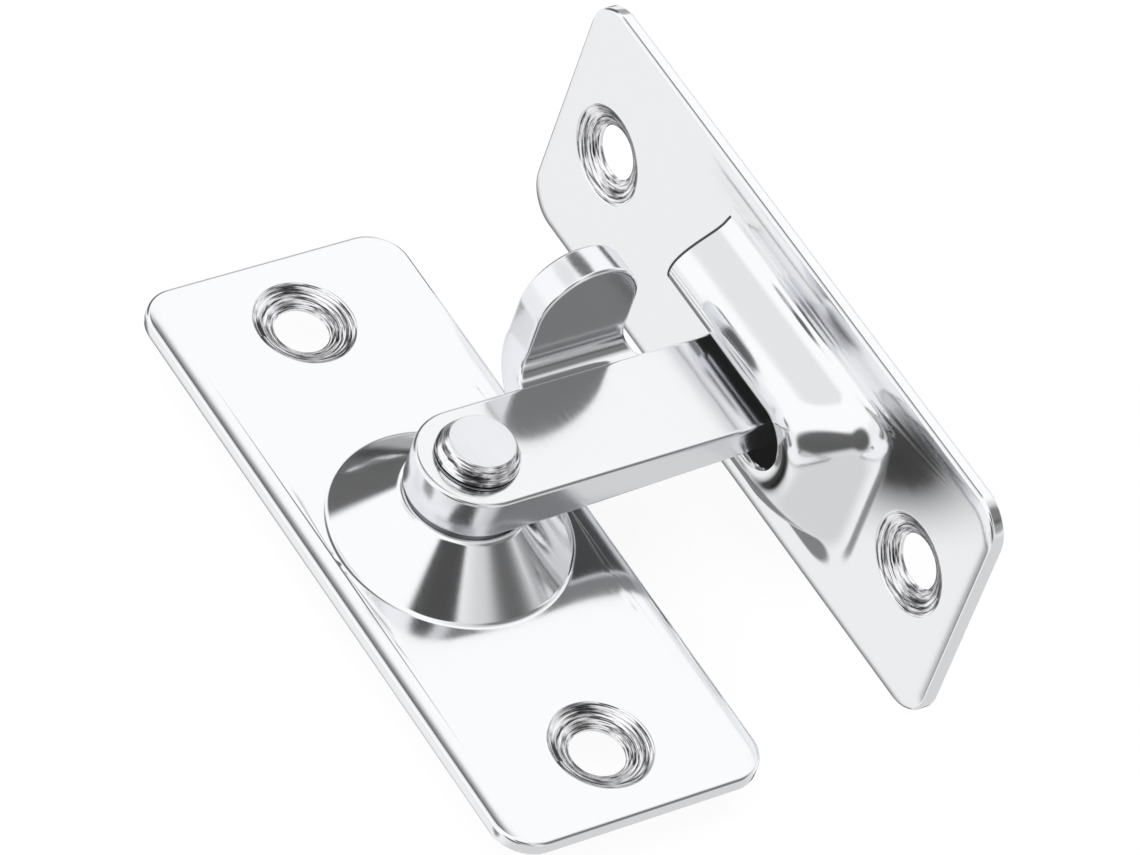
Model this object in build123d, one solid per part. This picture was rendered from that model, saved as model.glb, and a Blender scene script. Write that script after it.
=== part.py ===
from build123d import *
import os
from math import atan2, cos, sin, tan

# Right-angle toggle bolt latch in polished stainless steel, in millimetres.
# A flat bolt turns on a rivet above the base plate, and its hooked tip swings into a
# pressed hood on the keeper plate, which stands square to the base plate.
# Origin: on the pivot axis, in the plane of the base plate's back face, midway between
# its two screw holes. +Z points out of the base plate along the pivot axis, +X points
# from the pivot to the keeper, and +Y points to the side that the bolt swings out to.

# ---- driving dimensions -------------------------------------------------------------
# both screw plates
plate_length = 71.0
plate_width = 29.0
plate_thickness = 1.5
plate_corner_radius = 4.0
plate_edge_round = 0.4
screw_spacing = 54.5
screw_hole_diameter = 5.5
countersink_diameter = 10.2
countersink_land = 0.35          # straight wall left under the countersink

# boss pressed up out of the base plate
boss_height = 5.4                # above the plate's front face
boss_base_radius = 11.8
boss_top_radius = 6.2
boss_foot_round = 2.0
boss_top_round = 1.0
boss_inner_round = 0.2           # least rounding inside the boss

# bolt
bolt_width = 12.0
bolt_thickness = 4.6             # at the pivot end
bolt_tip_thickness = 3.4         # the underside rises towards the tip
tip_entry = 0.6                  # how far the tip passes the keeper's front face
bolt_edge_round = 0.35
hook_thickness = 2.4             # along the bolt
hook_overlap = 1.2               # how far the hook stands above the slot's edge

# thumb tab, bent up from the bolt's edge
tab_centre = 15.2                # from the pivot axis
tab_thickness = 3.5
tab_width = 11.2
tab_root_width = 13.6
tab_height = 11.8                # above the bolt's top face
tab_bend_radius = 1.7            # inside the bend
tab_flare_height = 3.8

# rivet and washers
shank_diameter = 5.0
head_diameter = 8.2
head_top_diameter = 6.5
head_height = 2.1
head_band = 0.6                  # straight band at the foot of the head
tail_diameter = 7.6
tail_height = 1.2
friction_washer_diameter = 11.0
friction_washer_thickness = 0.4
spring_washer_diameter = 9.0
spring_washer_thickness = 0.4
spring_washer_rise = 0.2         # cone height of the spring washer

# keeper and its pressed hood
keeper_distance = 34.0           # pivot axis to the keeper's front face
keeper_shift = 3.0               # keeper's centre along +Y from the pivot axis
hood_height = 7.0                # above the keeper's front face
hood_half_height = 9.6           # half its size along the pivot axis
hood_wall = 1.3
hood_open_end = 12.3             # from the pivot axis along +Y
hood_closed_end = 15.8           # foot of the closed end, from the pivot axis along -Y
hood_end_slope = 4.6             # how far the closed end leans in over the hood's height
hood_corner_round = 2.6
hood_foot_round = 1.6
hood_lower_margin = 2.0          # the lower side of the hood stops this far past the bolt
slot_half_height = 3.5
slot_margin = 3.0                # the slot runs on this far past the bolt's near edge

# clearances
running_clearance = 0.05         # on the radius, between the shank and what turns on it
axial_play = 0.05                # above and below the bolt
touch = 1e-3                     # lengths under this count as nothing

# ---- lengths that follow --------------------------------------------------------------
bolt_reach = keeper_distance + tip_entry               # pivot axis to the end of the tip
slot_end = bolt_width / 2 + slot_margin                # from the pivot axis along -Y
hood_lower_end = bolt_width / 2 + hood_lower_margin    # from the pivot axis along +Y

# ---- heights above the base plate's back face -----------------------------------------
boss_top = plate_thickness + boss_height
bolt_underside = boss_top + friction_washer_thickness + axial_play
bolt_top = bolt_underside + bolt_thickness
tip_underside = bolt_top - bolt_tip_thickness
head_underside = bolt_top + axial_play
boss_ceiling = boss_top - plate_thickness
tail_top = boss_ceiling - spring_washer_thickness - spring_washer_rise
slot_centre = bolt_top - bolt_tip_thickness / 2
hook_top = slot_centre + slot_half_height + hook_overlap

shank_radius = shank_diameter / 2
bore_radius = shank_radius + running_clearance


def screw_plate():
    """Plate with rounded corners and two countersunk holes, on Z = 0 and up."""
    with BuildPart() as plate:
        with BuildSketch():
            RectangleRounded(plate_width, plate_length, plate_corner_radius)
        extrude(amount=plate_thickness)
        fillet(plate.faces().sort_by(Axis.Z)[-1].edges(), plate_edge_round)
        with BuildSketch(Plane.XZ) as section:
            with BuildLine():
                Polyline(
                    (0, 0),
                    (screw_hole_diameter / 2, 0),
                    (screw_hole_diameter / 2, countersink_land),
                    (countersink_diameter / 2, plate_thickness),
                    (0, plate_thickness),
                    close=True,
                )
            make_face()
        cutter = revolve(section.sketch, Axis.Z, mode=Mode.PRIVATE)
        with Locations((0, screw_spacing / 2), (0, -screw_spacing / 2)):
            add(cutter, mode=Mode.SUBTRACT)
    return plate.part


def cone_profile(base_radius, top_radius, low, high, foot_round, top_round):
    """Half section of a cone with its foot flared out and its top edge rounded."""
    slope = atan2(high - low, base_radius - top_radius)
    foot = foot_round * tan(slope / 2)
    top = top_round * tan(slope / 2)
    along = (cos(slope), sin(slope))
    with BuildSketch(Plane.XZ) as section:
        with BuildLine():
            start = (base_radius + foot, low)
            foot_end = (base_radius - foot * along[0], low + foot * along[1])
            top_start = (top_radius + top * along[0], high - top * along[1])
            top_end = (top_radius - top, high)
            TangentArc(start, foot_end, tangent=(-1, 0))
            Line(foot_end, top_start)
            TangentArc(top_start, top_end, tangent=(-along[0], along[1]))
            Polyline(top_end, (0, high), (0, low), start)
        make_face()
    return section.sketch


def base_plate():
    """Screw plate with the cone-shaped boss pressed up from it, open at the back."""
    wall = plate_thickness
    slope = atan2(boss_height, boss_base_radius - boss_top_radius)
    # the sheet keeps its thickness, so the inner cone lies one wall inside the outer one
    inset = wall * tan(slope / 2)
    outer = cone_profile(boss_base_radius, boss_top_radius, plate_thickness, boss_top,
                         boss_foot_round, boss_top_round)
    inner = cone_profile(boss_base_radius - inset, boss_top_radius - inset, 0, boss_ceiling,
                         boss_foot_round + wall, max(boss_top_round - wall, boss_inner_round))
    with BuildPart() as plate:
        add(screw_plate())
        add(revolve(outer, Axis.Z, mode=Mode.PRIVATE))
        add(revolve(inner, Axis.Z, mode=Mode.PRIVATE), mode=Mode.SUBTRACT)
        Cylinder(bore_radius, 3 * boss_top, mode=Mode.SUBTRACT)
    return plate.part


def tab_form():
    """Thumb tab: a strip bent up from the bolt's edge, cut to a round-topped outline."""
    edge = bolt_width / 2
    inner = tab_bend_radius
    outer = tab_bend_radius + tab_thickness
    underside = bolt_top - tab_thickness
    bend_height = bolt_top + inner
    top = bolt_top + tab_height
    with BuildPart() as strip:
        with BuildSketch(Plane.YZ.offset(tab_centre)):
            with BuildLine():
                Line((edge, bolt_top), (edge, underside))
                TangentArc((edge, underside), (edge + outer, bend_height), tangent=(1, 0))
                Line((edge + outer, bend_height), (edge + outer, top))
                Line((edge + outer, top), (edge + inner, top))
                Line((edge + inner, top), (edge + inner, bend_height))
                TangentArc((edge + inner, bend_height), (edge, bolt_top), tangent=(0, -1))
            make_face()
        extrude(amount=tab_root_width / 2, both=True)
        fillet(strip.edges().filter_by(Axis.X).group_by(Axis.Z)[-1], bolt_edge_round)
    half = tab_width / 2
    root = tab_root_width / 2
    shoulder = top - half
    flare_low = bolt_top
    flare_high = bolt_top + tab_flare_height
    with BuildPart() as outline:
        with BuildSketch(Plane.XZ):
            with BuildLine():
                Polyline((-half, shoulder), (-half, flare_high))
                TangentArc((-half, flare_high), (-root, flare_low), tangent=(0, -1))
                Polyline((-root, flare_low), (-root, 0), (root, 0), (root, flare_low))
                TangentArc((half, flare_high), (root, flare_low), tangent=(0, -1))
                Polyline((half, flare_high), (half, shoulder))
                ThreePointArc((half, shoulder), (0, top), (-half, shoulder))
            make_face()
        extrude(amount=-2 * bolt_width)
    return strip.part & (Pos(tab_centre, 0, 0) * outline.part)


def bolt():
    """Flat bolt with a round pivot end, thumb tab and a hook turned up at its tip."""
    half = bolt_width / 2
    with BuildPart() as bar:
        with BuildSketch(Plane.XY.offset(bolt_underside)):
            Circle(half)
            with Locations((bolt_reach / 2, 0)):
                Rectangle(bolt_reach, bolt_width)
        extrude(amount=bolt_thickness)
        with BuildSketch(Plane.XY.offset(bolt_underside)):
            Circle(bolt_reach)
        extrude(amount=bolt_thickness, mode=Mode.INTERSECT)
        # the underside is level under the round end and rises from there to the tip
        with BuildSketch(Plane.XZ.offset(-bolt_width)):
            with BuildLine():
                Polyline((half, bolt_underside), (bolt_reach, tip_underside),
                         (2 * bolt_reach, tip_underside), (2 * bolt_reach, bolt_underside),
                         close=True)
            make_face()
        extrude(amount=2 * bolt_width, mode=Mode.SUBTRACT)
        flats = bar.faces().filter_by(lambda face: abs(face.normal_at().Z) > cos(0.5))
        # every edge of the flats is eased but the line where the rise begins
        fillet([e for e in flats.edges() if e.geom_type != GeomType.LINE
                or e.bounding_box().size.Y < touch], bolt_edge_round)
        # hook: a band of the circle that the tip sweeps, so that it clears the hood
        with BuildSketch(Plane.XY.offset(slot_centre)):
            with Locations((bolt_reach / 2, 0)):
                Rectangle(bolt_reach, bolt_width)
            Circle(bolt_reach, mode=Mode.INTERSECT)
            Circle(bolt_reach - hook_thickness, mode=Mode.SUBTRACT)
        extrude(amount=hook_top - slot_centre)
        add(tab_form())
        Cylinder(bore_radius, 3 * bolt_top, mode=Mode.SUBTRACT)
    return bar.part


def pivot_rivet():
    """Turned rivet: coned head, plain shank, and a tail closed over the spring washer."""
    head = head_underside + head_height
    tail_foot = tail_top - tail_height
    with BuildPart() as rivet:
        with BuildSketch(Plane.XZ):
            with BuildLine():
                Polyline(
                    (0, head),
                    (head_top_diameter / 2, head),
                    (head_diameter / 2, head_underside + head_band),
                    (head_diameter / 2, head_underside),
                    (shank_radius, head_underside),
                    (shank_radius, tail_top),
                    (tail_diameter / 2, tail_top),
                    (tail_diameter / 2, tail_top - tail_height / 2),
                    (shank_radius, tail_foot),
                    (0, tail_foot),
                    close=True,
                )
            make_face()
        revolve(axis=Axis.Z)
    return rivet.part


def ring(points):
    """Ring turned from the half section given by its corner points."""
    with BuildPart() as turned:
        with BuildSketch(Plane.XZ):
            with BuildLine():
                Polyline(*points, close=True)
            make_face()
        revolve(axis=Axis.Z)
    return turned.part


def friction_washer():
    """Flat washer between the boss and the bolt."""
    outer = friction_washer_diameter / 2
    top = boss_top + friction_washer_thickness
    return ring([(bore_radius, boss_top), (outer, boss_top), (outer, top), (bore_radius, top)])


def spring_washer():
    """Coned washer inside the boss, squeezed between its ceiling and the rivet's tail."""
    outer = spring_washer_diameter / 2
    return ring([
        (bore_radius, tail_top),
        (outer, tail_top + spring_washer_rise),
        (outer, boss_ceiling),
        (bore_radius, tail_top + spring_washer_thickness),
    ])


def hood_form(shrink, corner_round):
    """Elliptical arch along Y with a leaning closed end, all faces moved in by shrink."""
    height = hood_height - shrink
    half = hood_half_height - shrink
    front = keeper_distance
    back = keeper_distance + plate_thickness
    slope = atan2(hood_end_slope, hood_height)
    foot = hood_closed_end - shrink / cos(slope)
    with BuildPart() as form:
        with BuildSketch(Plane.XZ.offset(-hood_open_end)):
            with BuildLine():
                EllipticalCenterArc((front, slot_centre), height, half, 90, arc_size=180)
                Polyline((front, slot_centre - half), (back, slot_centre - half),
                         (back, slot_centre + half), (front, slot_centre + half))
            make_face()
        extrude(amount=hood_open_end + 2 * hood_closed_end)
        lean = Plane(origin=(front, -foot, 0), z_dir=(-sin(slope), -cos(slope), 0))
        split(bisect_by=lean, keep=Keep.BOTTOM)
        end = form.faces().filter_by(lean)[0]
        fillet([e for e in end.edges() if e.center().X < back - touch], corner_round)
    return form.part


def keeper_plate():
    """Screw plate standing square to the base, with the slotted hood pressed out of it."""
    front = keeper_distance
    face = Plane(origin=(front + plate_thickness, keeper_shift, slot_centre),
                 x_dir=(0, 0, 1), z_dir=(-1, 0, 0))
    nose = front - hood_height
    with BuildPart() as lower_end:
        # the lower side stops short of the open end, where the plate stays flat
        with Locations((front, hood_lower_end, slot_centre - slot_half_height)):
            Box(4 * hood_height, plate_length, 2 * hood_half_height,
                align=(Align.CENTER, Align.MIN, Align.MAX))
    outer = hood_form(0, hood_corner_round) - lower_end.part
    inner = hood_form(hood_wall, hood_corner_round - hood_wall) - lower_end.part
    with BuildPart() as plate:
        add(face.location * screw_plate())
        add(outer)
        # the foot of the hood: the edges where it meets the plate's front face
        feet = [e for e in plate.edges()
                if abs(e.center().X - front) < touch and e.bounding_box().size.X < touch
                and -hood_closed_end - touch < e.center().Y < hood_open_end - touch
                and abs(e.center().Z - slot_centre) < hood_half_height + touch]
        fillet(feet, hood_foot_round)
        add(inner, mode=Mode.SUBTRACT)
        # slot through the nose, open at the hood's open end and round at the other
        with BuildSketch(Plane.YZ.offset(nose - hood_wall)):
            with Locations((-slot_end + slot_half_height, slot_centre)):
                Circle(slot_half_height)
                Rectangle(hood_open_end + slot_end, 2 * slot_half_height,
                          align=(Align.MIN, Align.CENTER))
        extrude(amount=hood_height / 2 + hood_wall, mode=Mode.SUBTRACT)
    return plate.part


sub_parts = {
    "base_plate": base_plate,
    "bolt": bolt,
    "pivot_rivet": pivot_rivet,
    "friction_washer": friction_washer,
    "spring_washer": spring_washer,
    "keeper_plate": keeper_plate,
}

os.makedirs("parts", exist_ok=True)
for name, make in sub_parts.items():
    export_step(make(), f"parts/{name}.step")
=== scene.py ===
"""Looks of the toggle bolt latch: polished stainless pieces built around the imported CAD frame."""

import math

import bmesh
import bpy
import numpy as np
from mathutils import Matrix, Vector
from mathutils.geometry import delaunay_2d_cdt


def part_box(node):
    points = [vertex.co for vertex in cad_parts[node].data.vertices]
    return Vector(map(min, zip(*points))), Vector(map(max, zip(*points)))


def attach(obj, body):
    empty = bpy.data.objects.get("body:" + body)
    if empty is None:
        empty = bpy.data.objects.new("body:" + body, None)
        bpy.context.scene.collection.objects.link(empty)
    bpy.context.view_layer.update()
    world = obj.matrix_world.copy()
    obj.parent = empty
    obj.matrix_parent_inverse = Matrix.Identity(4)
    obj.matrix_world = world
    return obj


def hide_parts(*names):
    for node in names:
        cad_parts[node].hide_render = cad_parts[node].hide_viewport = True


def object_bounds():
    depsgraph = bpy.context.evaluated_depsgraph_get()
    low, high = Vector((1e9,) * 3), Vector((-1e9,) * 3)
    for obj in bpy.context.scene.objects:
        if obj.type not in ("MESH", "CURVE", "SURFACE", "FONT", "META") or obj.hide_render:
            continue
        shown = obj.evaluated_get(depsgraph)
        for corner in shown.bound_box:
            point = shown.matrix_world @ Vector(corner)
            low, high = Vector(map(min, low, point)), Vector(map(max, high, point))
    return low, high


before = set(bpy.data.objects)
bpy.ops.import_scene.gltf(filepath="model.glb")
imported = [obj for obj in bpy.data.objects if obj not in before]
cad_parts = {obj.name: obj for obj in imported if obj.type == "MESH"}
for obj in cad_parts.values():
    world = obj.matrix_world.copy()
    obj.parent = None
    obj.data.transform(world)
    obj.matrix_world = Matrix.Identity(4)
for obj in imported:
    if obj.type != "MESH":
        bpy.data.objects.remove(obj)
cad_low, cad_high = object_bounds()

# ---- sizes, in millimetres ------------------------------------------------------------
MM = 0.001


def box(node):
    """Lowest and highest corner of a CAD node, in millimetres."""
    return [np.array(corner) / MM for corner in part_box(node)]


base_low, base_high = box("base_plate")
keeper_low, keeper_high = box("keeper_plate")
bolt_low, bolt_high = box("bolt")
rivet_low, rivet_high = box("pivot_rivet")
friction_low, friction_high = box("friction_washer")
spring_low, spring_high = box("spring_washer")

plate_length = base_high[1] - base_low[1]
plate_width = base_high[0] - base_low[0]
plate_thickness = 1.5
corner_radius = 4.0
edge_round = 0.4
back_edge_round = 0.15
shoulder_width = 1.75           # the front dips a little this close to the rim
shoulder_dip = 0.08
screw_spacing = 54.5
screw_hole_radius = 2.75
countersink_radius = 5.1
countersink_land = 0.35
countersink_lip = 0.12          # the machined cone starts this far inside its mouth
countersink_mouth_round = 0.2
hole_back_round = 0.1

boss_top = base_high[2]
boss_base_radius = 11.8
boss_top_radius = 6.2
boss_foot_round = 0.9
boss_top_round = 1.0
swell = 0.12                    # the sheet rises this much to the boss's foot
swell_reach = 3.4               # width of its bell curve outside the foot
swell_inside = 1.6              # and inside it
swell_start = 0.6               # height in the sheet where the swell begins
swell_full = 1.2                # and where it is whole
swell_spacing = 0.6             # between the points that carry it
boss_inner_round = 0.2
bore_radius = 2.55
bore_edge_round = 0.1

bolt_reach = bolt_high[0]
bolt_half_width = -bolt_low[1]
bolt_underside = bolt_low[2]
bolt_top = 11.95
bolt_tip_thickness = 3.4
bolt_edge_round = 0.4
hook_thickness = 2.4
hook_top = 14.95
hook_side_inset = 0.2           # the hook stands this far inside the bar's sides
hook_tip_inset = 0.02           # and this far inside its tip

tab_top = bolt_high[2]
tab_thickness = 3.5
tab_bend_radius = bolt_high[1] - bolt_half_width - tab_thickness
tab_centre = 15.2
tab_half_width = 5.6
tab_root_half_width = 6.8
tab_flare_height = 3.8
tab_edge_round = 0.35
tab_root_depth = 0.25           # the tab starts this far inside the bar's edge

head_radius = rivet_high[0]
head_top_radius = 3.25
head_underside = 12.0
head_band = 0.6
shank_radius = 2.5
tail_radius = 3.8
tail_height = 1.2
head_relief = 0.03              # the head stands back this much above its foot
head_top_drop = 0.12            # height of the eased edge of its top
head_top_inset = 0.08
shade_line_depth = 0.12           # groove under the head, painted dark as shade between the head and the bolt
shade_line_foot = 0.05
shade_line_height = 0.22
washer_edge_round = 0.05
spring_washer_thickness = 0.4

keeper_front = keeper_high[0] - plate_thickness
keeper_centre = (keeper_low + keeper_high) / 2
hood_height = keeper_front - keeper_low[0]
hood_half_height = 9.6
hood_wall = 1.3
hood_open_end = 12.3
hood_closed_end = 15.8
hood_end_slope = 4.6
hood_lower_end = 8.0
hood_wall_slope = 4.4           # how far each long wall leans in over the hood's height
hood_nose_round = 4.0
hood_lip_round = 1.15           # how far the slot's lip is rolled back
hood_lip_width = 3.2
hood_shoulder_round = 4.4
hood_foot_round = 1.7
hood_skirt = 0.4                # flat strip kept round the hood's foot
hood_lip_bulge = 0.22           # how far the slot's cut edge swells out
draw_line_pitch = 0.95          # lines left by the die along the hood's upper foot
draw_line_depth = 0.035
draw_line_start = 8.2           # from the slot's middle
draw_line_span = 3.9
shear_reach = 10.3              # the open end is sheared this far up from the slot's middle
slot_half_height = 3.5
slot_end = 9.0

support = 0.15                  # width of the flat strip kept beside each rounded edge
round_steps = 6                 # faces across a rounded edge
weld = 0.002                    # points nearer than this become one
pole = 0.001                    # radius where a turned profile ends, to be welded shut
outline_clearance = 0.3         # inner points of a flat face keep this far from its outlines


# ---- surfaces -------------------------------------------------------------------------
def grid(points, around=False):
    """Quads over an (n, m, 3) array of points; around joins the last column to the first."""
    rows, columns = points.shape[:2]
    index = np.arange(rows * columns).reshape(rows, columns)
    if around:
        index = np.concatenate([index, index[:, :1]], axis=1)
    quads = np.stack([index[:-1, :-1], index[:-1, 1:], index[1:, 1:], index[1:, :-1]], axis=-1)
    return points.reshape(-1, 3), quads.reshape(-1, 4)


def within(points, loop):
    """Whether points lie inside a closed loop: a line out of each crosses it an odd number
    of times."""
    (x, y), (x1, y1) = points.T[:, :, None], loop.T[:, None]
    x2, y2 = np.roll(loop, -1, axis=0).T[:, None]
    spans = (y1 > y) != (y2 > y)
    crossing = x1 + (y - y1) * (x2 - x1) / np.where(y1 == y2, 1, y2 - y1)
    return (spans & (x < crossing)).sum(axis=1) % 2 == 1


def flat_face(loops, place, inner=None):
    """Triangles filling the first closed loop and leaving the others open; place lifts them.
    inner points are used where they lie on the face, clear of its outlines."""
    starts = np.cumsum([0] + [len(loop) for loop in loops])
    edges = [(start + i, start + (i + 1) % len(loop))
             for start, loop in zip(starts, loops) for i in range(len(loop))]
    plan = list(loops)
    if inner is not None:
        gap = np.min([np.linalg.norm(inner[:, None] - loop[None], axis=-1).min(axis=1)
                      for loop in loops], axis=0)
        plan.append(inner[(gap > outline_clearance) & within(inner, loops[0])])
    points = [Vector(p) for p in np.vstack(plan).tolist()]
    fill_inside, tolerance = 1, 1e-7
    found = delaunay_2d_cdt(points, edges, [], fill_inside, tolerance)
    flat, faces = np.array([tuple(p) for p in found[0]]), np.array(found[2])
    middle = flat[faces].mean(axis=1)
    keep = within(middle, loops[0])
    for hole in loops[1:]:
        keep &= ~within(middle, hole)
    return place(flat), faces[keep]


def rounded_path(corners, radii, steps=round_steps):
    """Polyline through corner points in a plane, with each corner turned into an arc."""
    corners = np.asarray(corners, float)
    path = [corners[0]]
    for before, here, after, radius in zip(corners, corners[1:], corners[2:], radii):
        back = (before - here) / np.linalg.norm(before - here)
        ahead = (after - here) / np.linalg.norm(after - here)
        turn = math.pi - math.acos(np.clip(back @ ahead, -1, 1))
        if radius <= 0 or turn < 1e-6:
            path.append(here)
            continue
        reach = radius * math.tan(turn / 2)
        bisector = (back + ahead) / np.linalg.norm(back + ahead)
        centre = here + bisector * radius / math.cos(turn / 2)
        start = here + back * reach - centre
        side = here + ahead * reach - centre
        for t in np.linspace(0, 1, steps + 1):
            path.append(centre + (math.sin((1 - t) * turn) * start
                                  + math.sin(t * turn) * side) / math.sin(turn))
    path.append(corners[-1])
    return np.array(path)


def turned(profile, segments=192):
    """Surface of revolution about Z of a profile of (radius, height) points."""
    angle = np.linspace(0, 2 * math.pi, segments, endpoint=False)
    radius, height = profile[:, :1], profile[:, 1:]
    return grid(np.stack([radius * np.cos(angle), radius * np.sin(angle),
                          height + 0 * angle], axis=-1), around=True)


def moved(patch, place):
    """The same faces with their points placed by a function."""
    return place(patch[0]), patch[1]


def unit(angle):
    """Unit vectors in a plane at angles in radians."""
    return np.stack([np.cos(angle), np.sin(angle)], axis=1)


def circle(radius, centre=(0.0, 0.0), segments=192):
    """Points of a circle in a plane."""
    return centre + radius * unit(np.linspace(0, 2 * math.pi, segments, endpoint=False))


def rounded_rectangle(width, length, radius, steps=16):
    """Points and outward normals of a rectangle centred on the origin with round corners."""
    angle = np.linspace(0, math.pi / 2, steps)
    points, normals = [], []
    for quarter, (side_x, side_y) in enumerate([(1, 1), (-1, 1), (-1, -1), (1, -1)]):
        normal = unit(angle + quarter * math.pi / 2)
        centre = np.array([side_x * (width / 2 - radius), side_y * (length / 2 - radius)])
        points.append(centre + radius * normal)
        normals.append(normal)
    return np.vstack(points), np.vstack(normals)


def rim(points, normals, profile):
    """Band round an outline: each profile row is (inset from the outline, height)."""
    inset, height = profile[:, 0, None, None], profile[:, 1, None]
    plan = points[None] - inset * normals[None]
    return np.concatenate([plan, np.broadcast_to(height, plan.shape[:2])[..., None]], axis=-1)


def eased(radius):
    """Quarter round of an edge from the face to the side, as rows of (inset, depth)."""
    turn = np.linspace(0, math.pi / 2, round_steps + 1)
    return radius - radius * np.stack([np.sin(turn), np.cos(turn)], axis=1)


def raised(plan, height):
    """Points in a plane given a height, or each its own."""
    return np.column_stack([plan, np.broadcast_to(height, len(plan))])


# ---- turning patches into pieces --------------------------------------------------------
def wound(mesh, centres, axes, turned_finish=1):
    """UV map for turned faces, which have the piece's second material: degrees round the
    nearest centre, and millimetres from it."""
    first, second = axes
    count = len(mesh.loops)
    index, place = np.empty(count, int), np.empty(3 * len(mesh.vertices))
    mesh.loops.foreach_get("vertex_index", index)
    mesh.vertices.foreach_get("co", place)
    place = place.reshape(-1, 3)[index] / MM
    start, size, finish = (np.empty(len(mesh.polygons), int) for _ in range(3))
    mesh.polygons.foreach_get("loop_start", start)
    mesh.polygons.foreach_get("loop_total", size)
    mesh.polygons.foreach_get("material_index", finish)
    away = place[:, None, [first, second]] - np.array(centres, float)[None]
    near = np.linalg.norm(away, axis=-1).argmin(axis=1)
    away = away[np.arange(count), near]
    angle = np.degrees(np.arctan2(away[:, 1], away[:, 0]))
    lead = np.repeat(angle[start], size)
    angle = lead + (angle - lead + 180) % 360 - 180
    used = np.repeat(finish == turned_finish, size)
    uv = np.column_stack([angle, np.linalg.norm(away, axis=1)]) * used[:, None]
    mesh.uv_layers.new(name="turning").data.foreach_set("uv", uv.ravel())


def piece(name, groups, body, node, crease=32, turning=None):
    """One closed mesh from groups of patches, each with its own material, welded, with its
    faces outwards and its edges creased. turning gives the centres and axes of turned faces."""
    offset, points, faces, finish = 0, [], [], []
    for number, (group, _) in enumerate(groups):
        for patch_points, patch_faces in group:
            points.append(patch_points)
            faces += (patch_faces + offset).tolist()
            finish += [number] * len(patch_faces)
            offset += len(patch_points)
    mesh = bpy.data.meshes.new(name)
    mesh.from_pydata(np.vstack(points) * MM, [], faces)
    mesh.polygons.foreach_set("material_index", finish)
    work = bmesh.new()
    work.from_mesh(mesh)
    bmesh.ops.remove_doubles(work, verts=work.verts, dist=weld * MM)
    bmesh.ops.dissolve_degenerate(work, edges=work.edges, dist=weld * MM / 20)
    bmesh.ops.recalc_face_normals(work, faces=work.faces)
    if work.calc_volume(signed=True) < 0:
        bmesh.ops.reverse_faces(work, faces=work.faces)
    limit = math.radians(crease)
    for edge in work.edges:
        edge.smooth = edge.calc_face_angle(0) < limit
    open_edges = sum(1 for edge in work.edges if not edge.is_manifold)
    if open_edges:
        print(f"{name}: {open_edges} open edges")
    work.to_mesh(mesh)
    work.free()
    mesh.polygons.foreach_set("use_smooth", np.ones(len(mesh.polygons), bool))
    for _, material in groups:
        mesh.materials.append(material)
    if turning:
        wound(mesh, *turning)
    made = bpy.data.objects.new(name, mesh)
    bpy.context.scene.collection.objects.link(made)
    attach(made, body)
    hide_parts(node)
    return made


# ---- screw plates -----------------------------------------------------------------------
def tool_rings(start, end, pitch=0.42, depth=0.016, steps=60):
    """Straight cut from start to end with fine concentric ridges left by the cutter: a wave
    of the pitch and a weaker, closer one, both fading at the ends."""
    start, end = np.array(start, float), np.array(end, float)
    t = np.linspace(0, 1, steps)[:, None]
    along = np.linalg.norm(end - start)
    across = np.array([-(end - start)[1], (end - start)[0]]) / along
    fade = np.sin(math.pi * t) ** 0.5
    phase = 2 * math.pi * t * along / pitch
    closer, weaker = 2.3, 0.5
    wave = np.sin(phase) + weaker * np.sin(closer * phase)
    return start + t * (end - start) + across * wave * fade * depth


def countersink():
    """Profile of a countersunk hole, from the flat round its mouth to the flat at its back."""
    thick, radius = plate_thickness, countersink_radius
    hole, lip = screw_hole_radius, countersink_lip
    cone = tool_rings((radius - lip, thick - lip), (hole, countersink_land))
    mouth = rounded_path([(radius + 2 * support, thick), (radius, thick), cone[0]],
                         [countersink_mouth_round])
    back = rounded_path([cone[-1], (hole, 0), (hole + support + hole_back_round, 0)],
                        [hole_back_round])
    return mouth, cone, back


def plate_patches(place, front_holes, back_holes, inner=None):
    """Front, back, rim and two countersunk holes of a screw plate in its own plane, and the
    holes' machined cones. The front dips towards the rim by the square of the way across
    the shoulder, as a blanked and buffed sheet does."""
    points, normals = rounded_rectangle(plate_width, plate_length, corner_radius)
    across = np.linspace(0, 1, 9)[:-1]
    shoulder = np.stack([shoulder_width - across * (shoulder_width - edge_round),
                         plate_thickness - shoulder_dip * across ** 2], axis=1)
    low_front = plate_thickness - shoulder_dip
    edge = rounded_path([(2 * edge_round, low_front), (0, low_front), (0, 0),
                         (back_edge_round + support, 0)], [edge_round, back_edge_round])
    flat_start = [shoulder_width + support, plate_thickness]
    band = rim(points, normals, np.vstack([flat_start, shoulder, edge[1:]]))
    mouth, cone, sink_back = countersink()
    patches, cuts = [moved(grid(band, around=True), place)], []
    front, back = [band[0, :, :2]], [band[-1, :, :2]]
    for centre in ((0, screw_spacing / 2), (0, -screw_spacing / 2)):
        shift = np.array([*centre, 0])
        for profile, group in ((mouth, patches), (cone, cuts), (sink_back, patches)):
            group.append(moved(turned(profile), lambda p, shift=shift: place(p + shift)))
        front.append(circle(mouth[0, 0], centre))
        back.append(circle(sink_back[-1, 0], centre))
    patches.append(flat_face(front + front_holes,
                             lambda p: place(raised(p, plate_thickness)), inner))
    patches.append(flat_face(back + back_holes, lambda p: place(raised(p, 0))))
    return patches, cuts


def drawn(p):
    """The sheet swells up to the boss, by a bell curve of the way out from its foot, and the
    swell dies away down to the back of the sheet and towards the boss's top."""
    out = np.hypot(p[:, 0], p[:, 1]) - boss_base_radius
    reach = np.where(out > 0, swell_reach, swell_inside)
    front = np.clip((p[:, 2] - swell_start) / (swell_full - swell_start), 0, 1)
    return p + np.array([0, 0, 1]) * (swell * front * np.exp(-(out / reach) ** 2))[:, None]


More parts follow.
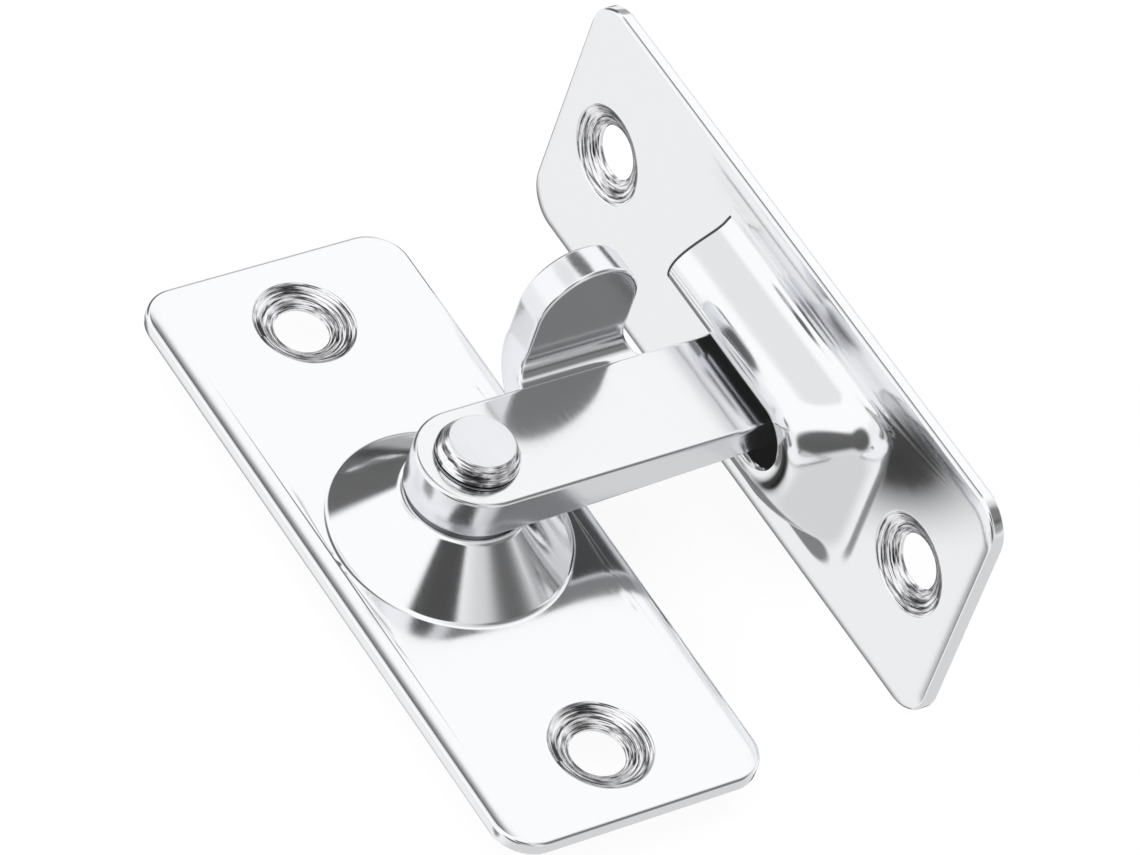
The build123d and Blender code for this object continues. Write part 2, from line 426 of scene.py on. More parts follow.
def swell_points():
    """Even points over the plate inside its shoulder, as rows of (across, along)."""
    gap = swell_spacing
    reaches = [gap * int((side / 2 - shoulder_width - outline_clearance) / gap)
               for side in (plate_width, plate_length)]
    across, along = np.meshgrid(*(np.arange(-reach, reach + gap / 2, gap) for reach in reaches))
    return np.column_stack([across.ravel(), along.ravel()])


def base_plate(material, cut_material):
    """Screw plate with the cone boss pressed up from it, its hollow open at the back."""
    wall = plate_thickness
    ceiling = boss_top - wall
    slope = math.atan2(ceiling, boss_base_radius - boss_top_radius)
    lean = math.tan(slope / 2)
    inner_round = boss_foot_round + wall
    foot = boss_base_radius + boss_foot_round * lean + 2 * support
    inner_base, inner_top = boss_base_radius - wall * lean, boss_top_radius - wall * lean
    inner_foot = inner_base + inner_round * lean + 2 * support
    boss = rounded_path(
        [(foot, wall), (boss_base_radius, wall), (boss_top_radius, boss_top),
         (bore_radius, boss_top), (bore_radius, ceiling), (inner_top, ceiling),
         (inner_base, 0), (inner_foot, 0)],
        [boss_foot_round, boss_top_round, bore_edge_round, bore_edge_round, boss_inner_round,
         inner_round], steps=12)
    patches, cuts = plate_patches(drawn, [circle(foot)], [circle(inner_foot)], swell_points())
    patches.append(moved(turned(boss), drawn))
    holes = [(0, side * screw_spacing / 2) for side in (1, -1)]
    return piece("base_plate_polished", [(patches, material), (cuts, cut_material)], "base",
                 "base_plate", turning=(holes, (0, 1)))


# ---- keeper with its hood ---------------------------------------------------------------
def smooth_min(a, b, width):
    """The smaller of two distances, blended where they differ by less than width."""
    return np.minimum(a, b) - np.maximum(width - np.abs(a - b), 0) ** 2 / (4 * width)


def hood_distance(along, up, out):
    """How far a point is outside the hood: a level nose between two leaning walls, cut by a
    leaning end plane, with every shoulder blended and joined to the plate's face with a soft
    foot. along is +Y, up is +Z from the slot's middle, out is the height above the plate."""
    lean = math.hypot(hood_wall_slope, hood_height)
    wall = ((np.abs(up) - hood_half_height) * hood_height + out * hood_wall_slope) / lean
    arch = -smooth_min(hood_height - out, -wall, hood_nose_round)
    lean = math.hypot(hood_end_slope, hood_height)
    end = (-(along + hood_closed_end) * hood_height + out * hood_end_slope) / lean
    body = -smooth_min(-arch, -end, hood_shoulder_round)
    return smooth_min(body, out, hood_foot_round)


def hood_out(along, up, halvings=40):
    """Height of the hood's surface above the plate, found by halving between two heights, one
    in the sheet and one above the nose."""
    low, high = np.full(along.shape, -0.5), np.full(along.shape, hood_height + 2.0)
    for _ in range(halvings):
        middle = (low + high) / 2
        inside = hood_distance(along, up, middle) < 0
        low, high = np.where(inside, middle, low), np.where(inside, high, middle)
    return (low + high) / 2


def hood_plan(columns=(64, 96, 48), rows=72, samples=900, squareness=6.0):
    """Plan of the hood as a ribbon bent round the slot: its inner edge is the slot's outline
    and its outer edge lies on the flat plate, squared off round the closed end by a
    superellipse. The rows are evenly spaced over the hood's surface, up its slopes and all.
    Returns (rows, columns, 2) points."""
    reach_up = hood_half_height + hood_foot_round + hood_skirt
    reach_end = hood_closed_end + hood_foot_round + hood_skirt
    middle = -slot_end + slot_half_height
    upper = np.linspace(hood_open_end, middle, columns[0])
    lower = np.linspace(middle, hood_lower_end, columns[2])
    turn = np.linspace(math.pi / 2, 3 * math.pi / 2, columns[1])[1:-1]
    across = (np.abs(np.cos(turn) / (reach_end + middle)) ** squareness
              + np.abs(np.sin(turn) / reach_up) ** squareness) ** (-1 / squareness)

    def ribbon_edge(half, reach):
        """Straight, round the closed end, and straight back."""
        return np.vstack([np.stack([upper, np.full(len(upper), half)], axis=1),
                          np.array([middle, 0]) + reach * unit(turn),
                          np.stack([lower, np.full(len(lower), -half)], axis=1)])

    inner = ribbon_edge(slot_half_height, slot_half_height)
    outer = ribbon_edge(reach_up, across[:, None])
    fine = np.linspace(0, 1, samples)[:, None, None]
    plan = inner[None] * (1 - fine) + outer[None] * fine
    out = hood_out(plan[..., 0], plan[..., 1])
    step = np.sqrt((np.diff(plan, axis=0) ** 2).sum(-1) + np.diff(out, axis=0) ** 2)
    length = np.vstack([np.zeros(step.shape[1]), np.cumsum(step, axis=0)])
    share = np.linspace(0, 1, rows)
    picked = np.stack([np.interp(share * length[-1, i], length[:, i], fine[:, 0, 0])
                       for i in range(plan.shape[1])], axis=1)[..., None]
    return inner[None] * (1 - picked) + outer[None] * picked


def stood(along, up, out):
    """From distances along, up and out of the hood's frame to the latch."""
    return np.stack(np.broadcast_arrays(keeper_front - out, along, keeper_centre[2] + up),
                    axis=-1)


def hood_normals(plan, step=1e-3):
    """Unit normals out of the hood over its plan, from its height a little to each side,
    level with the plate at its foot and with the cut ends beside them."""
    along, up = plan[..., 0], plan[..., 1]
    slope_along = (hood_out(along + step, up) - hood_out(along - step, up)) / (2 * step)
    slope_up = (hood_out(along, up + step) - hood_out(along, up - step)) / (2 * step)
    normal = np.stack([-np.ones_like(along), -slope_along, -slope_up], axis=-1)
    normal[-1, :, 1:] = 0
    normal[:, [0, -1], 1] = 0
    return normal / np.linalg.norm(normal, axis=-1, keepdims=True)


def hood_skins(plan):
    """Outer and inner face of the hood over its plan. The lip rolls back by the square of the
    way in from the slot, die lines run along the upper foot, and the wall thins up the
    slopes. The inner face meets the slot square on, a shift that dies away in a few rows."""
    along, up = plan[..., 0], plan[..., 1]
    to_slot = np.linalg.norm(plan - plan[:1], axis=-1)
    roll = hood_lip_round * np.clip(1 - to_slot / hood_lip_width, 0, 1) ** 2
    crossing = np.sin(math.pi * np.clip((up - draw_line_start) / draw_line_span, 0, 1)) ** 2
    lines = draw_line_depth * crossing * np.sin(2 * math.pi * up / draw_line_pitch)
    out = hood_out(along, up) - roll + lines
    out[-1] = 0
    outer = stood(along, up, out)
    thinning = np.clip(out / (hood_height / 2), 0, 1)[..., None]
    wall = plate_thickness + (hood_wall - plate_thickness) * thinning
    inner = outer - hood_normals(plan) * wall
    shift = (outer[0] - inner[0]) * [0, 1, 1]
    shift_rows = 4
    inner += shift * np.exp(-np.arange(len(inner)) / shift_rows)[:, None, None]
    inner[-1] = outer[-1] + [plate_thickness, 0, 0]
    inner[:, [0, -1], 1] = outer[:, [0, -1], 1]
    inner[..., 0] = np.minimum(inner[..., 0], keeper_high[0])
    return outer, inner


def lip(first, second, bulge=0.0):
    """Strip over a sheet's cut edge, swelling out by bulge between its two faces."""
    t = np.linspace(0, 1, 7)[:, None, None]
    return grid(first[None] * (1 - t) + second[None] * t + np.sin(math.pi * t) * bulge)


def hood_patches(plan):
    """The hood's two faces with the cut edges between them, and apart from these the strip of
    its open end that the die sheared."""
    outer, inner = hood_skins(plan)
    mouth = (outer[0] - outer[1]) * [0, 1, 1]
    mouth /= np.linalg.norm(mouth, axis=-1, keepdims=True)
    mouth[[0, -1]] = 0
    torn = np.searchsorted(plan[:, 0, 1], shear_reach)
    patches = [grid(outer[:, 1:]), grid(outer[torn - 1:, :2]), grid(inner),
               lip(outer[0], inner[0], hood_lip_bulge * mouth),
               lip(outer[:, 0], inner[:, 0]), lip(outer[:, -1], inner[:, -1])]
    return patches, [grid(outer[:torn, :2])]


def keeper_plate(material, cut_material, shear_material):
    """Screw plate standing square to the base, with the slotted hood pressed out of it."""
    def place(p):
        """From the plate's own plane (across, along, out) to the latch."""
        return np.column_stack([keeper_high[0] - p[:, 2], keeper_centre[1] + p[:, 1],
                                keeper_centre[2] + p[:, 0]])

    plan = hood_plan()
    foot = plan[-1]
    corners = np.array([(hood_lower_end, -slot_half_height), (hood_open_end, -slot_half_height)])
    hole = np.vstack([foot, corners])
    opening = np.column_stack([hole[:, 1], hole[:, 0] - keeper_centre[1]])
    patches, cuts = plate_patches(place, [opening], [opening])
    hood, shear = hood_patches(plan)
    along, up = np.vstack([foot[-1:], corners, foot[:1]]).T
    patches += hood + [lip(stood(along, up, 0), stood(along, up, -plate_thickness))]
    holes = [(keeper_centre[1] + side * screw_spacing / 2, keeper_centre[2])
             for side in (1, -1)]
    return piece("keeper_plate_polished",
                 [(patches, material), (cuts, cut_material), (shear, shear_material)], "base",
                 "keeper_plate", turning=(holes, (1, 2)))


# ---- bolt -------------------------------------------------------------------------------
def bolt_outline(round_count=64, side_count=8, tip_count=12, side_share=0.85):
    """Plan of the bolt and its outward normals: a full round at the pivot, straight sides and
    an arc at the tip that the tip sweeps. At the tip's corners the normals lean both ways."""
    half = bolt_half_width
    tip = math.asin(half / bolt_reach)
    round_end = unit(np.linspace(math.pi / 2, 3 * math.pi / 2, round_count))
    tip_arc = unit(np.linspace(-tip, tip, tip_count))
    side = np.linspace(half, side_share * bolt_reach, side_count)
    near = np.stack([side, np.full(side_count, -half)], axis=1)
    points = np.vstack([half * round_end, near, bolt_reach * tip_arc, near[::-1] * [1, -1]])
    normals = np.vstack([round_end, np.tile([0, -1], (side_count, 1)), tip_arc,
                         np.tile([0, 1], (side_count, 1))])
    corner = round_count + side_count
    normals[[corner, corner + tip_count - 1]] = [(1, -1), (1, 1)]
    return points, normals


def underside(x):
    """Height of the bolt's underside, rising evenly from its round end to its tip."""
    rise = np.clip((x - bolt_half_width) / (bolt_reach - bolt_half_width), 0, 1)
    return bolt_underside + rise * (bolt_top - bolt_tip_thickness - bolt_underside)


def bolt_bar():
    """The flat bar: level top, and an underside that rises from the round end to the tip."""
    points, normals = bolt_outline()
    inset, depth = np.vstack([[bolt_edge_round + support, 0], eased(bolt_edge_round)]).T
    plan = points[None] - np.concatenate([inset, inset[::-1]])[:, None, None] * normals[None]
    upper = np.arange(len(plan))[:, None] < len(depth)
    height = (np.where(upper, bolt_top, underside(plan[..., 0]))
              + np.concatenate([-depth, depth[::-1]])[:, None])
    band = np.concatenate([plan, height[..., None]], axis=-1)
    bore = circle(bore_radius, segments=96)
    hole = np.stack([raised(bore, bolt_top), raised(bore, bolt_underside)])
    return ([flat_face([band[0, :, :2], bore], lambda p: raised(p, bolt_top)),
             flat_face([band[-1, :, :2], bore], lambda p: raised(p, underside(p[:, 0]))),
             grid(hole, around=True)],
            [grid(band, around=True)])


def tab_sheet(across, along, deep):
    """Bends the flat tab: along runs up the sheet from the bar's edge, deep goes into it."""
    r = tab_bend_radius
    quarter = r * math.pi / 2
    turn = np.clip(along, 0, quarter) / r
    straight = np.maximum(along - quarter, 0)
    inside = np.minimum(along, 0)
    y = bolt_half_width + inside + (r + deep) * np.sin(turn)
    z = bolt_top + r - (r + deep) * np.cos(turn) + straight
    return np.stack(np.broadcast_arrays(tab_centre + across, y, z), axis=-1)


def tab_half_outline():
    """Right half of the flat tab, from its root inside the bar to the middle of its round top:
    a foot that flares by the square of the way down, a straight side and a quarter round.
    Returns points and outward normals."""
    sheet_top = tab_bend_radius * math.pi / 2 + (tab_top - bolt_top - tab_bend_radius)
    shoulder = sheet_top - tab_half_width
    flare = tab_root_half_width - tab_half_width
    rise = np.linspace(0, 1, 22)[1:]
    up = np.linspace(tab_flare_height, shoulder, 11)[1:]
    right = np.vstack([
        [(tab_root_half_width, -tab_root_depth), (tab_root_half_width, 0)],
        np.stack([tab_half_width + flare * (1 - rise) ** 2, rise * tab_flare_height], axis=1),
        np.stack([np.full(len(up), tab_half_width), up], axis=1),
        [0, shoulder] + tab_half_width * unit(np.linspace(0, math.pi / 2, 48)[1:])])
    tangent = np.gradient(right, axis=0)
    tangent[-1] = [-1, 0]
    normal = np.stack([tangent[:, 1], -tangent[:, 0]], axis=1)
    return right, normal / np.linalg.norm(normal, axis=1, keepdims=True)


def thumb_tab():
    """Round-topped tab with flared roots: a ring of rows across its outline, eased all round,
    bent up as one sheet."""
    right, normal = tab_half_outline()
    face = tab_edge_round + support
    front = eased(tab_edge_round)
    back = np.array([0, tab_thickness]) + front[::-1] * [1, -1]
    section = np.vstack([[face, 0], front, back, [face, tab_thickness]])
    plan = right[None] - section[:, 0, None, None] * normal[None]
    plan[:, -1, 0] = 0
    deep = section[:, 1, None]
    edges = [grid(tab_sheet(side * plan[..., 0], plan[..., 1], deep)) for side in (1, -1)]
    spread = np.linspace(-1, 1, 33)
    patches = [grid(tab_sheet(plan[row, :, 0, None] * spread, plan[row, :, 1, None], depth))
               for row, depth in ((0, 0.0), (-1, tab_thickness))]
    patches.append(grid(tab_sheet(plan[:, 0, 0, None] * spread, -tab_root_depth, deep)))
    return patches, edges


def tip_hook(count=12):
    """Block standing on the tip, bounded by two circles about the pivot."""
    half = bolt_half_width - hook_side_inset
    inner_reach = bolt_reach - hook_thickness
    outer_turn, inner_turn = math.asin(half / bolt_reach), math.asin(half / inner_reach)
    outer = unit(np.linspace(-outer_turn, outer_turn, count))
    inner = unit(np.linspace(inner_turn, -inner_turn, count))
    points = np.vstack([(bolt_reach - hook_tip_inset) * outer, inner_reach * inner])
    normals = np.vstack([outer, -inner])
    normals[[0, count - 1, count, -1]] = [(1, -1), (1, 1), (-1, 1), (-1, -1)]
    e = bolt_edge_round
    foot = bolt_top - bolt_tip_thickness / 2
    band = rim(points, normals,
               rounded_path([(e + support, hook_top), (0, hook_top), (0, foot)], [e]))
    return ([flat_face([band[0, :, :2]], lambda p: raised(p, hook_top)),
             flat_face([band[-1, :, :2]], lambda p: raised(p, foot))],
            [grid(band, around=True)])


def bolt(material, edge_material):
    """Bar, thumb tab and hook as one piece: polished faces and satin edges."""
    parts = [bolt_bar(), thumb_tab(), tip_hook()]
    faces = [patch for patches, _ in parts for patch in patches]
    edges = [patch for _, patches in parts for patch in patches]
    return piece("bolt_polished", [(faces, material), (edges, edge_material)], "bolt", "bolt")


# ---- rivet and washers ------------------------------------------------------------------
def pivot_rivet(material, cut_material, painted_shade_material):
    """Turned rivet: coned head with tool marks, plain shank, closed tail, and a dark line of
    painted shade where the head meets the bolt."""
    top, tail_foot = rivet_high[2], rivet_low[2]
    tail_top = tail_foot + tail_height
    line = head_underside + shade_line_foot
    groove = np.array([(head_radius, line),
                       (head_radius - shade_line_depth, line + shade_line_height / 2),
                       (head_radius - head_relief, line + shade_line_height)])
    cone = tool_rings((head_radius - head_relief, head_underside + head_band),
                      (head_top_radius, top - head_top_drop), pitch=0.34, depth=0.02)
    crown = rounded_path([cone[-1], (head_top_radius - head_top_inset, top), (pole, top)], [0.1])
    # from the tail's foot up round it, up the shank and out under the head
    lower = rounded_path([(pole, tail_foot), (shank_radius, tail_foot),
                          (tail_radius, tail_top - tail_height / 2), (tail_radius, tail_top),
                          (shank_radius, tail_top), (shank_radius, head_underside),
                          (head_radius, head_underside), groove[0]],
                         [0.3, 0.2, 0.1, 0.05, 0.05, 0.03])
    head = np.vstack([groove[-1:], cone])
    # the groove's faces take painted shade: a near-black line where the head meets the bolt
    return piece("pivot_rivet_turned",
                 [([turned(lower), turned(crown)], material), ([turned(head)], cut_material),
                  ([turned(groove)], painted_shade_material)],
                 "base", "pivot_rivet", turning=([(0, 0)], (0, 1)))


def washer(name, corners, node, material):
    """Ring turned from a closed section of four corners, each eased."""
    ring = np.array(corners + corners[:2], float)
    seam = (ring[0] + ring[1]) / 2
    profile = rounded_path(np.vstack([seam, ring[1:-1], seam]), [washer_edge_round] * 4)
    return piece(name, [([turned(profile, 128)], material)], "base", node)


def friction_washer(material):
    """Flat ring between boss and bolt."""
    outer, low, high = friction_high[0], friction_low[2], friction_high[2]
    return washer("friction_washer_flat", [(bore_radius, low), (outer, low), (outer, high),
                                           (bore_radius, high)], "friction_washer", material)


def spring_washer(material):
    """Coned ring squeezed against the boss's ceiling."""
    outer, low, high = spring_high[0], spring_low[2], spring_high[2]
    thick = spring_washer_thickness
    return washer("spring_washer_coned", [(bore_radius, low), (outer, high - thick),
                                          (outer, high), (bore_radius, low + thick)],
                  "spring_washer", material)


# ---- materials --------------------------------------------------------------------------
def linear(code):
    """Linear colour of an sRGB hex value such as 'c8c8ca'."""
    value = np.array([int(code[i:i + 2], 16) for i in (0, 2, 4)]) / 255
    value = np.where(value <= 0.04045, value / 12.92, ((value + 0.055) / 1.055) ** 2.4)
    return (*value, 1.0)


def add_node(tree, kind, settings=(), inputs=(), links=()):
    """Adds a node, sets its properties and inputs, and links outputs into its inputs."""
    made = tree.nodes.new(kind)
    for name, value in dict(settings).items():
        setattr(made, name, value)
    for name, value in dict(inputs).items():
        made.inputs[name].default_value = value
    for name, output in dict(links).items():
        tree.links.new(output, made.inputs[name])
    return made


def new_material(name):
    """Empty node material and its tree."""
    material = bpy.data.materials.new(name)
    material.use_nodes = True
    material.node_tree.nodes.clear()
    return material, material.node_tree


def shaded(tree, inputs, links=()):
    """Ends a material's tree in a surface shader with the given inputs and links."""
    shader = add_node(tree, "ShaderNodeBsdfPrincipled", inputs=inputs, links=links)
    add_node(tree, "ShaderNodeOutputMaterial", links={"Surface": shader.outputs["BSDF"]})


def polished_stainless(name, colour, roughness, waviness):
    """Stainless steel (AISI 304), buffed: white metal, nearly clear reflections softened by
    fine buffing marks, and faint waves left in the sheet by the press."""
    material, tree = new_material(name)
    place = add_node(tree, "ShaderNodeTexCoord").outputs["Object"]
    # buffing marks, drawn out along the length of the piece, and the press's waves
    mark_spacing, wave_length = 0.1 * MM, 14 * MM
    stretched = add_node(tree, "ShaderNodeMapping", inputs={"Scale": (1.0, 0.06, 1.0)},
                         links={"Vector": place}).outputs["Vector"]
    marks = add_node(tree, "ShaderNodeTexNoise",
                     inputs={"Scale": 1 / (2 * mark_spacing), "Detail": 3.0, "Roughness": 0.6},
                     links={"Vector": stretched}).outputs["Fac"]
    waves = add_node(tree, "ShaderNodeTexNoise",
                     inputs={"Scale": 1 / wave_length, "Detail": 1.0, "Roughness": 0.4},
                     links={"Vector": place}).outputs["Fac"]
    gloss = add_node(tree, "ShaderNodeMapRange",
                     inputs={"From Min": 0.3, "From Max": 0.7, "To Min": roughness * 0.85,
                             "To Max": roughness * 1.2},
                     links={"Value": marks}).outputs["Result"]
    wave_bump = add_node(tree, "ShaderNodeBump",
                         inputs={"Strength": 1.0, "Distance": waviness * MM},
                         links={"Height": waves}).outputs["Normal"]
    fine_bump = add_node(tree, "ShaderNodeBump",
                         inputs={"Strength": 0.05, "Distance": 0.01 * MM},
                         links={"Height": marks, "Normal": wave_bump}).outputs["Normal"]
    shaded(tree, {"Base Color": linear(colour), "Metallic": 1.0},
           {"Roughness": gloss, "Normal": fine_bump})
    return material


def turned_stainless(name, dark, light, roughness):
    """Stainless steel (AISI 304) as the cutter leaves it: fine tool marks, torn here and there, as
    bumps, and in the same torn streaks a painted colour: dark is painted shade and light a
    painted glint, so bright and dark glints stand side by side."""
    material, tree = new_material(name)
    around = add_node(tree, "ShaderNodeUVMap", {"uv_map": "turning"}).outputs["UV"]
    degrees_long, width = 25, 0.15           # of a torn groove, the width in millimetres
    groove = add_node(tree, "ShaderNodeMapping",
                      inputs={"Scale": (1 / (2 * degrees_long), 1 / (2 * width), 1.0)},
                      links={"Vector": around}).outputs["Vector"]
    chips = add_node(tree, "ShaderNodeTexNoise",
                     inputs={"Scale": 1.0, "Detail": 4.0, "Roughness": 0.6},
                     links={"Vector": groove}).outputs["Fac"]
    painted_glint_mask = add_node(tree, "ShaderNodeMapRange", {"interpolation_type": "SMOOTHSTEP"},
                    {"From Min": 0.38, "From Max": 0.57}, {"Value": chips}).outputs["Result"]
    # in the mix, inputs 6 and 7 are the painted shade and painted glint colours and output 2 is
    # their blend
    colour = add_node(tree, "ShaderNodeMix", {"data_type": "RGBA"},
                      {6: linear(dark), 7: linear(light)}, {"Factor": painted_glint_mask}).outputs[2]
    tear = add_node(tree, "ShaderNodeBump", inputs={"Strength": 0.6, "Distance": 0.03 * MM},
                    links={"Height": chips}).outputs["Normal"]
    shaded(tree, {"Metallic": 1.0, "Roughness": roughness},
           {"Base Color": colour, "Normal": tear})
    return material


def satin_stainless(name, colour, roughness):
    """Stainless steel (AISI 304), blanked and tumbled: a fine grain blurs what it reflects."""
    material, tree = new_material(name)
    place = add_node(tree, "ShaderNodeTexCoord").outputs["Object"]
    grain_size = 0.15 * MM
    grain = add_node(tree, "ShaderNodeTexNoise",
                     inputs={"Scale": 1 / (2 * grain_size), "Detail": 3.0, "Roughness": 0.6},
                     links={"Vector": place}).outputs["Fac"]
    gloss = add_node(tree, "ShaderNodeMapRange",
                     inputs={"From Min": 0.3, "From Max": 0.7, "To Min": roughness * 0.8,
                             "To Max": roughness * 1.25},
                     links={"Value": grain}).outputs["Result"]
    bump = add_node(tree, "ShaderNodeBump", inputs={"Strength": 0.3, "Distance": 0.002 * MM},
                    links={"Height": grain}).outputs["Normal"]
    shaded(tree, {"Base Color": linear(colour), "Metallic": 1.0},
           {"Roughness": gloss, "Normal": bump})
    return material


# ---- stage, light and camera --------------------------------------------------------------
def stage_piece(name, points, faces, colour, glow, seen=("camera",)):
    """Part of the studio, in metres: a surface that only the named kinds of ray can see."""
    mesh = bpy.data.meshes.new(name)
    mesh.from_pydata(points, [], faces)
    material, tree = new_material(name)
    shaded(tree, {"Base Color": linear(colour), "Roughness": 1.0, "Specular IOR Level": 0.0,
                  "Emission Color": (1, 1, 1, 1), "Emission Strength": glow})
    mesh.materials.append(material)
    made = bpy.data.objects.new(name, mesh)
    for kind in ("camera", "glossy", "diffuse", "transmission", "shadow"):
        setattr(made, "visible_" + kind, kind in seen)
    bpy.context.scene.collection.objects.link(made)
    return made


def pale_floor():
    """Wide white floor just under the lowest point of the latch, bright enough that only a
    faint shadow is left on it."""
    half, level = 2.0, cad_low.z - 0.02 * MM
    corners = ((-half, -half), (half, -half), (half, half), (-half, half))
    stage_piece("floor", [(x, y, level) for x, y in corners], [(0, 1, 2, 3)], "8c8c8c", 0.84)


def white_dome():
    """White surround behind the floor."""
    radius = 3.0
    angle = np.linspace(0, 2 * math.pi, 48, endpoint=False)
    height = np.linspace(-math.pi / 2, math.pi / 2, 24)[:, None]
    ball = np.stack([np.cos(height) * np.cos(angle), np.cos(height) * np.sin(angle),
                     np.sin(height) + 0 * angle], axis=-1)
    points, faces = grid(radius * ball, around=True)
    stage_piece("dome", points, faces.tolist(), "000000", 1.0)


def veil(tree, share):
    """Makes a stage material clear by a share from 0 to 1."""
    paint = next(node for node in tree.nodes if node.type == "BSDF_PRINCIPLED")
    output = next(node for node in tree.nodes if node.type == "OUTPUT_MATERIAL")
    clear = add_node(tree, "ShaderNodeBsdfTransparent")
    both = add_node(tree, "ShaderNodeMixShader", links={"Fac": share})
    tree.links.new(paint.outputs["BSDF"], both.inputs[1])
    tree.links.new(clear.outputs["BSDF"], both.inputs[2])
    tree.links.new(both.outputs["Shader"], output.inputs["Surface"])


def pocket_shade_card():
    """Dark card of painted shade closing the keeper's back, inside the thickness of its sheet,
    so that the pocket in the hood looks as dark as it does against a door frame. It is clear
    from its other side, and to a ray that has come in that way, so the pocket is open from behind."""
    x = keeper_high[0] - 0.05
    (y0, z0), (y1, z1) = (-18.5, -3.5), (24.0, 24.0)        # past the hood on every side
    corners = ((y0, z0), (y0, z1), (y1, z1), (y1, z0))
    card = stage_piece("pocket_shade_card", [(x * MM, y * MM, z * MM) for y, z in corners],
                       [(0, 1, 2, 3)], "050505", 0.012, ("camera", "glossy"))
    tree = card.data.materials[0].node_tree
    side = add_node(tree, "ShaderNodeNewGeometry").outputs["Backfacing"]
    crossed = add_node(tree, "ShaderNodeLightPath").outputs["Transparent Depth"]
    behind = add_node(tree, "ShaderNodeMath", {"operation": "MAXIMUM"},
                      links={0: side, 1: crossed}).outputs["Value"]
    veil(tree, behind)


def floor_shade(name, centre, half, darkness):
    """Soft dark patch on the table that only reflections see: darkness at its middle, fading
    to nothing at its rim by the square of the way out."""
    level = cad_low.z / MM - 0.01                           # just above the floor
    (x, y), (a, b) = centre, half
    corners = ((x - a, y - b), (x + a, y - b), (x + a, y + b), (x - a, y + b))
    card = stage_piece(name, [(u * MM, v * MM, level * MM) for u, v in corners],
                       [(0, 1, 2, 3)], "050505", 0.0, ("glossy",))
    tree = card.data.materials[0].node_tree
    place = add_node(tree, "ShaderNodeTexCoord").outputs["Object"]
    centred = add_node(tree, "ShaderNodeMapping", {"vector_type": "TEXTURE"},
                       {"Location": (x * MM, y * MM, level * MM),
                        "Scale": (a * MM, b * MM, MM)},
                       {"Vector": place}).outputs["Vector"]
    ball = add_node(tree, "ShaderNodeTexGradient", {"gradient_type": "QUADRATIC_SPHERE"},
                    links={"Vector": centred}).outputs["Fac"]
    clear = add_node(tree, "ShaderNodeMapRange",
                     inputs={"From Min": 0.0, "From Max": 0.5, "To Min": 1.0,
                             "To Max": 1.0 - darkness},
                     links={"Value": ball}).outputs["Result"]
    veil(tree, clear)


def toward(azimuth, elevation):
    """Unit vector from the latch towards a compass azimuth from +X and a height, in degrees."""
    a, e = math.radians(azimuth), math.radians(elevation)
    return (math.cos(a) * math.cos(e), math.sin(a) * math.cos(e), math.sin(e))


def studio_world(below, strength, flags):
    """White tent of a strength, of which a share is left below the horizon, with soft dark
    flags: each is (azimuth, elevation, half width, softness, darkness), in degrees but for
    its darkness."""
    world = bpy.data.worlds.new("studio")
    world.use_nodes = True
    tree = world.node_tree
    tree.nodes.clear()
    way = add_node(tree, "ShaderNodeTexCoord").outputs["Generated"]
    height = add_node(tree, "ShaderNodeSeparateXYZ", links={"Vector": way}).outputs["Z"]
    level = add_node(tree, "ShaderNodeMapRange", {"interpolation_type": "SMOOTHSTEP"},
                     {"From Min": -0.15, "From Max": 0.1, "To Min": below * strength,
                      "To Max": strength},
                     {"Value": height}).outputs["Result"]
    for azimuth, elevation, width, soft, dark in flags:
        aim = add_node(tree, "ShaderNodeVectorMath", {"operation": "DOT_PRODUCT"},
                       {1: toward(azimuth, elevation)}, {0: way}).outputs["Value"]
        shade = add_node(tree, "ShaderNodeMapRange", {"interpolation_type": "SMOOTHSTEP"},
                         {"From Min": math.cos(math.radians(width + soft)),
                          "From Max": math.cos(math.radians(width)),
                          "To Min": 1.0, "To Max": 1.0 - dark},
                         {"Value": aim}).outputs["Result"]
        level = add_node(tree, "ShaderNodeMath", {"operation": "MULTIPLY"},
                         links={0: level, 1: shade}).outputs["Value"]
    light = add_node(tree, "ShaderNodeBackground", inputs={"Color": (1, 1, 1, 1)},
                     links={"Strength": level})
    add_node(tree, "ShaderNodeOutputWorld", links={"Surface": light.outputs["Background"]})
    bpy.context.scene.world = world


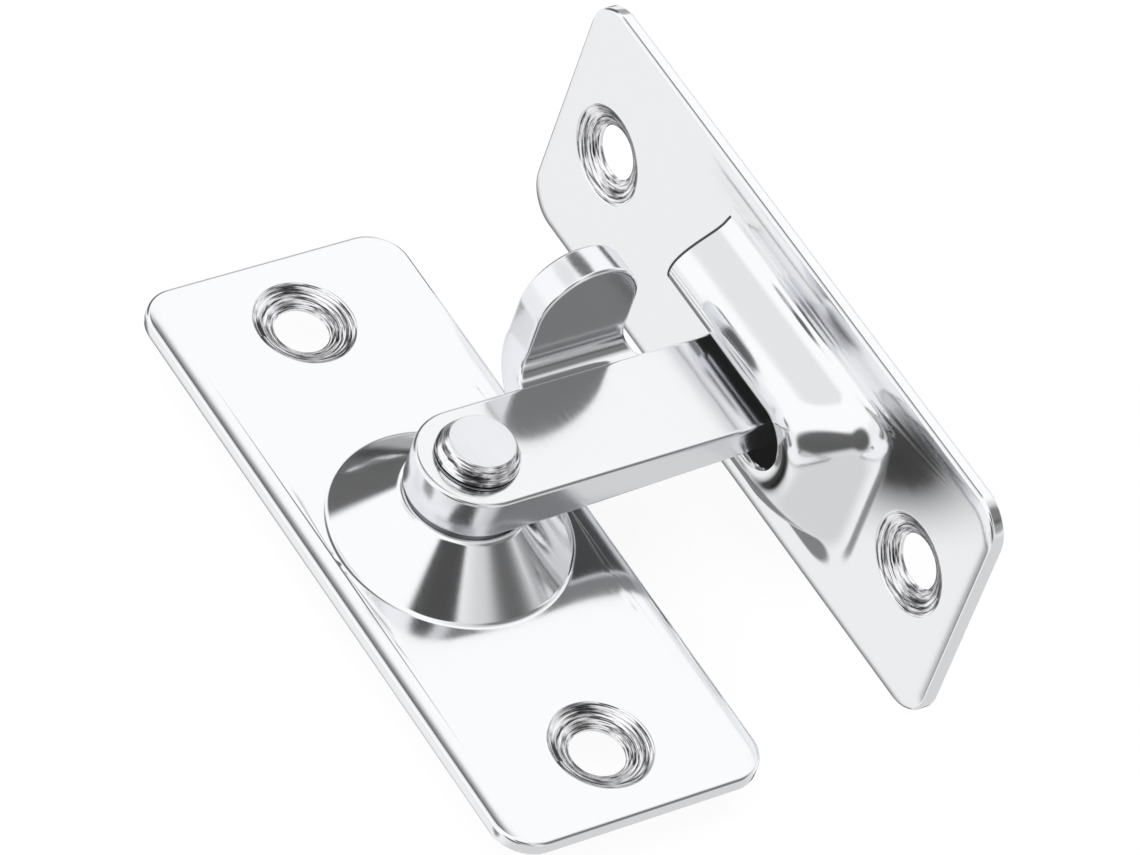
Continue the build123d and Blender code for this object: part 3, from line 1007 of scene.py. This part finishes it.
def camera():
    """Long lens looking down over the pivot end, with the latch turned a little in the frame."""
    azimuth, elevation, roll = -46.906, 45.373, 20.681
    distance, aim = 743.55, Vector((11.859, 1.425, 10.0))
    a, e, r = math.radians(azimuth), math.radians(elevation), math.radians(roll)
    back = Vector((math.sin(a) * math.cos(e), -math.cos(a) * math.cos(e), math.sin(e)))
    level = Vector((0, 0, 1)).cross(back).normalized()
    right = level * math.cos(r) + back.cross(level) * math.sin(r)
    turn = Matrix((right, back.cross(right), back)).transposed()
    data = bpy.data.cameras.new("camera")
    data.lens, data.sensor_width = 252.64, 36
    data.clip_start, data.clip_end = 0.05, 10
    made = bpy.data.objects.new("camera", data)
    made.matrix_world = Matrix.Translation((aim + back * distance) * MM) @ turn.to_4x4()
    bpy.context.scene.collection.objects.link(made)
    bpy.context.scene.camera = made


# ---- making it all ------------------------------------------------------------------------
plate_steel = polished_stainless("stainless_sheet_buffed", "f3f4f6", 0.11, 0.02)
bolt_steel = polished_stainless("stainless_bar_buffed", "eeeff1", 0.13, 0.02)
edge_steel = satin_stainless("stainless_edge_tumbled", "f0f1f4", 0.17)
rivet_steel = polished_stainless("stainless_rivet_faced", "e9eaed", 0.2, 0.0)
# turned faces: colour painted between shade and a bright glint in torn streaks
turned_steel_painted_glints = turned_stainless("stainless_turned_painted_glints", "404144", "f8f8fa", 0.16)
shear_steel = satin_stainless("stainless_sheared", "55565a", 0.4)
# painted shade: near-black steel for the groove under the rivet's head
rivet_gap_painted_shade = satin_stainless("painted_shade_under_rivet_head", "17171a", 0.5)
washer_steel = polished_stainless("spring_steel_grey", "8a8a8c", 0.35, 0.0)

base_plate(plate_steel, turned_steel_painted_glints)
keeper_plate(plate_steel, turned_steel_painted_glints, shear_steel)
bolt(bolt_steel, edge_steel)
pivot_rivet(rivet_steel, turned_steel_painted_glints, rivet_gap_painted_shade)
friction_washer(washer_steel)
spring_washer(washer_steel)

pale_floor()
white_dome()
# painted shade in the hood's pocket
pocket_shade_card()
floor_shade("table_shade", (16, -3), (13, 13), 0.95)
studio_world(0.88, 1.07, [
    (-124, 46, 13, 5, 0.93), (-43, 45, 12, 14, 0.68), (-45, 42, 24, 22, 0.35),
    (-58, 22, 10, 10, 0.5), (-115, 18, 14, 14, 0.5), (88, 8, 20, 8, 0.87),
    (-148, 0, 16, 10, 0.88), (37, -40, 17, 8, 0.93), (28, -12, 8, 10, 0.85),
    (28, 6, 9, 6, 0.9), (60, 17, 8, 10, 0.6), (75, 60, 10, 6, 0.85), (162, -40, 6, 6, 0.7),
    (96, -62, 17, 7, 0.75), (-80, -45, 40, 25, 0.25), (131, 52, 8, 8, 0.2)])
camera()
bpy.context.scene.view_settings.view_transform = "Standard"

bpy.context.view_layer.update()
